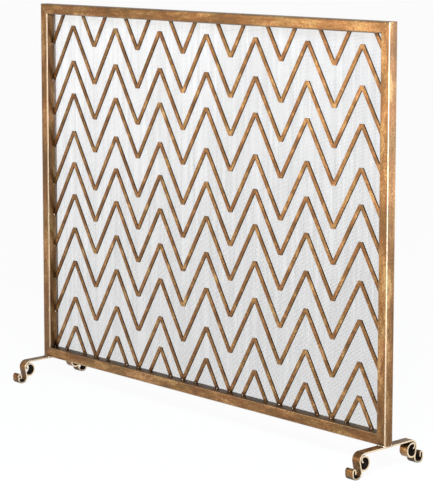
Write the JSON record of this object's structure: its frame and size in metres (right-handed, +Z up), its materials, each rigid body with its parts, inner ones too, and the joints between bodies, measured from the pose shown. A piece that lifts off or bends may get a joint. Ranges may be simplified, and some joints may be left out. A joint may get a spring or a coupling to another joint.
{
  "type": "fireplace screen",
  "caption": "Flat single-panel fireplace screen: square-tube frame, zigzag flat-bar rows in front of a wire mesh, and two scrolled strap feet.",
  "frame": {"origin": "on the floor, midway between the two feet and midway through the thickness of the frame", "axes": "+Z up; -Y is the front, the side with the zigzag bars; +X to the right seen from the front"},
  "size_m": [0.965, 0.1834, 0.785],
  "materials": {
    "frame": "hand-rubbed antique gold over brown, semi-gloss",
    "bars": "antique gold over dark brown, semi-gloss",
    "feet": "hand-rubbed antique gold over brown, semi-gloss",
    "mesh": "fine dark wire, satin",
    "strips": "brown with rubbed gold, semi-gloss"
  },
  "bodies": {
    "root": {"bottom_mesh_strip": "strips", "bottom_rail": "frame", "left_back_scroll": "feet", "left_foot_strap": "feet", "left_front_scroll": "feet", "left_mesh_strip": "strips", "left_post": "frame", "mesh_panel": "mesh", "right_back_scroll": "feet", "right_foot_strap": "feet", "right_front_scroll": "feet", "right_mesh_strip": "strips", "right_post": "frame", "top_mesh_strip": "strips", "top_rail": "frame", "zigzag_row_01": "bars", "zigzag_row_02": "bars", "zigzag_row_03": "bars", "zigzag_row_04": "bars", "zigzag_row_05": "bars", "zigzag_row_06": "bars", "zigzag_row_07": "bars", "zigzag_row_08": "bars", "zigzag_row_09": "bars", "zigzag_row_10": "bars", "zigzag_row_11": "bars"}
  },
  "joints": []
}
